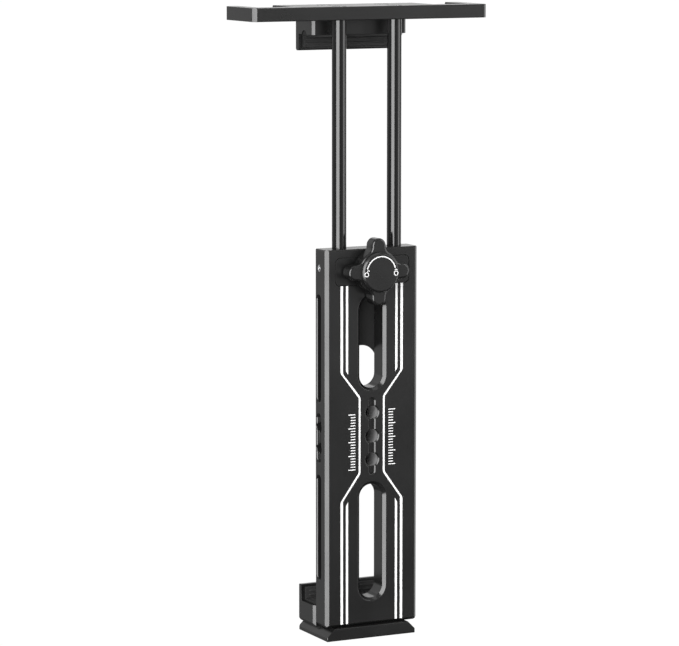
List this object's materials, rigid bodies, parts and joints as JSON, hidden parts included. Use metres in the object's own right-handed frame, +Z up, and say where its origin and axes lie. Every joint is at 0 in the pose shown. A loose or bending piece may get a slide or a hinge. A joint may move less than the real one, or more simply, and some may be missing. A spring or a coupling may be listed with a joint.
{
  "type": "telescoping tablet mount",
  "caption": "Telescoping tablet clamp for a tripod: slotted metal back, two sliding rods, padded jaws, lobed locking knob, accessory shoes and a dovetail foot.",
  "frame": {"origin": "mouth of the tripod hole, in the middle of the foot's underside", "axes": "+X right as seen from the knob side, +Y from the knob towards the tablet, +Z up along the rods"},
  "size_m": [0.0974, 0.0327, 0.2387],
  "materials": {
    "anodised": "fine bead-blasted black anodised aluminium with bright machined chamfers",
    "knob_black": "satin black anodised aluminium",
    "rod_black": "polished black oxide steel",
    "rubber": "matt black silicone rubber",
    "steel": "stainless steel",
    "bush_bronze": "oiled sintered bronze",
    "nylon": "natural nylon",
    "print_white": "white screen-printed ink"
  },
  "bodies": {
    "mount": {"body": "anodised", "dovetail_foot": "anodised", "tripod_insert": "steel", "foot_screws": "steel", "lower_jaw": "anodised", "lower_jaw_pad": "rubber", "back_pad": "rubber", "stud_nut": "steel", "side_screws": "steel", "friction_tips": "nylon", "rod_bush_left": "bush_bronze", "rod_bush_right": "bush_bronze"},
    "telescope": {"rod_left": "rod_black", "rod_right": "rod_black", "rod_collar_left": "steel", "rod_collar_right": "steel", "collar_screws": "steel", "upper_plate": "anodised", "upper_jaw": "anodised", "upper_jaw_pad": "rubber", "rod_screws": "steel", "jaw_screws": "steel"},
    "clamp": {"clamp_plate": "anodised", "thrust_washer": "steel"},
    "knob": {"knob": "knob_black", "knob_cap": "knob_black", "knob_stud": "steel"}
  },
  "joints": [
    {"name": "telescope_slide", "type": "slide", "parent": "mount", "child": "telescope", "axis": [0, 0, 1], "range_m": [-0.085, 0.0164]},
    {"name": "clamp_press", "type": "slide", "parent": "mount", "child": "clamp", "axis": [0, -1, 0], "range_m": [0, 0.0004]},
    {"name": "knob_turn", "type": "hinge", "parent": "clamp", "child": "knob", "pos_m": [0, -0.0104, 0.14], "axis": [0, -1, 0], "range_deg": [0, 180]}
  ],
  "couplings": [
    {"joint": "clamp_press", "follows": "knob_turn", "m_per_rad": 0.00012732}
  ]
}
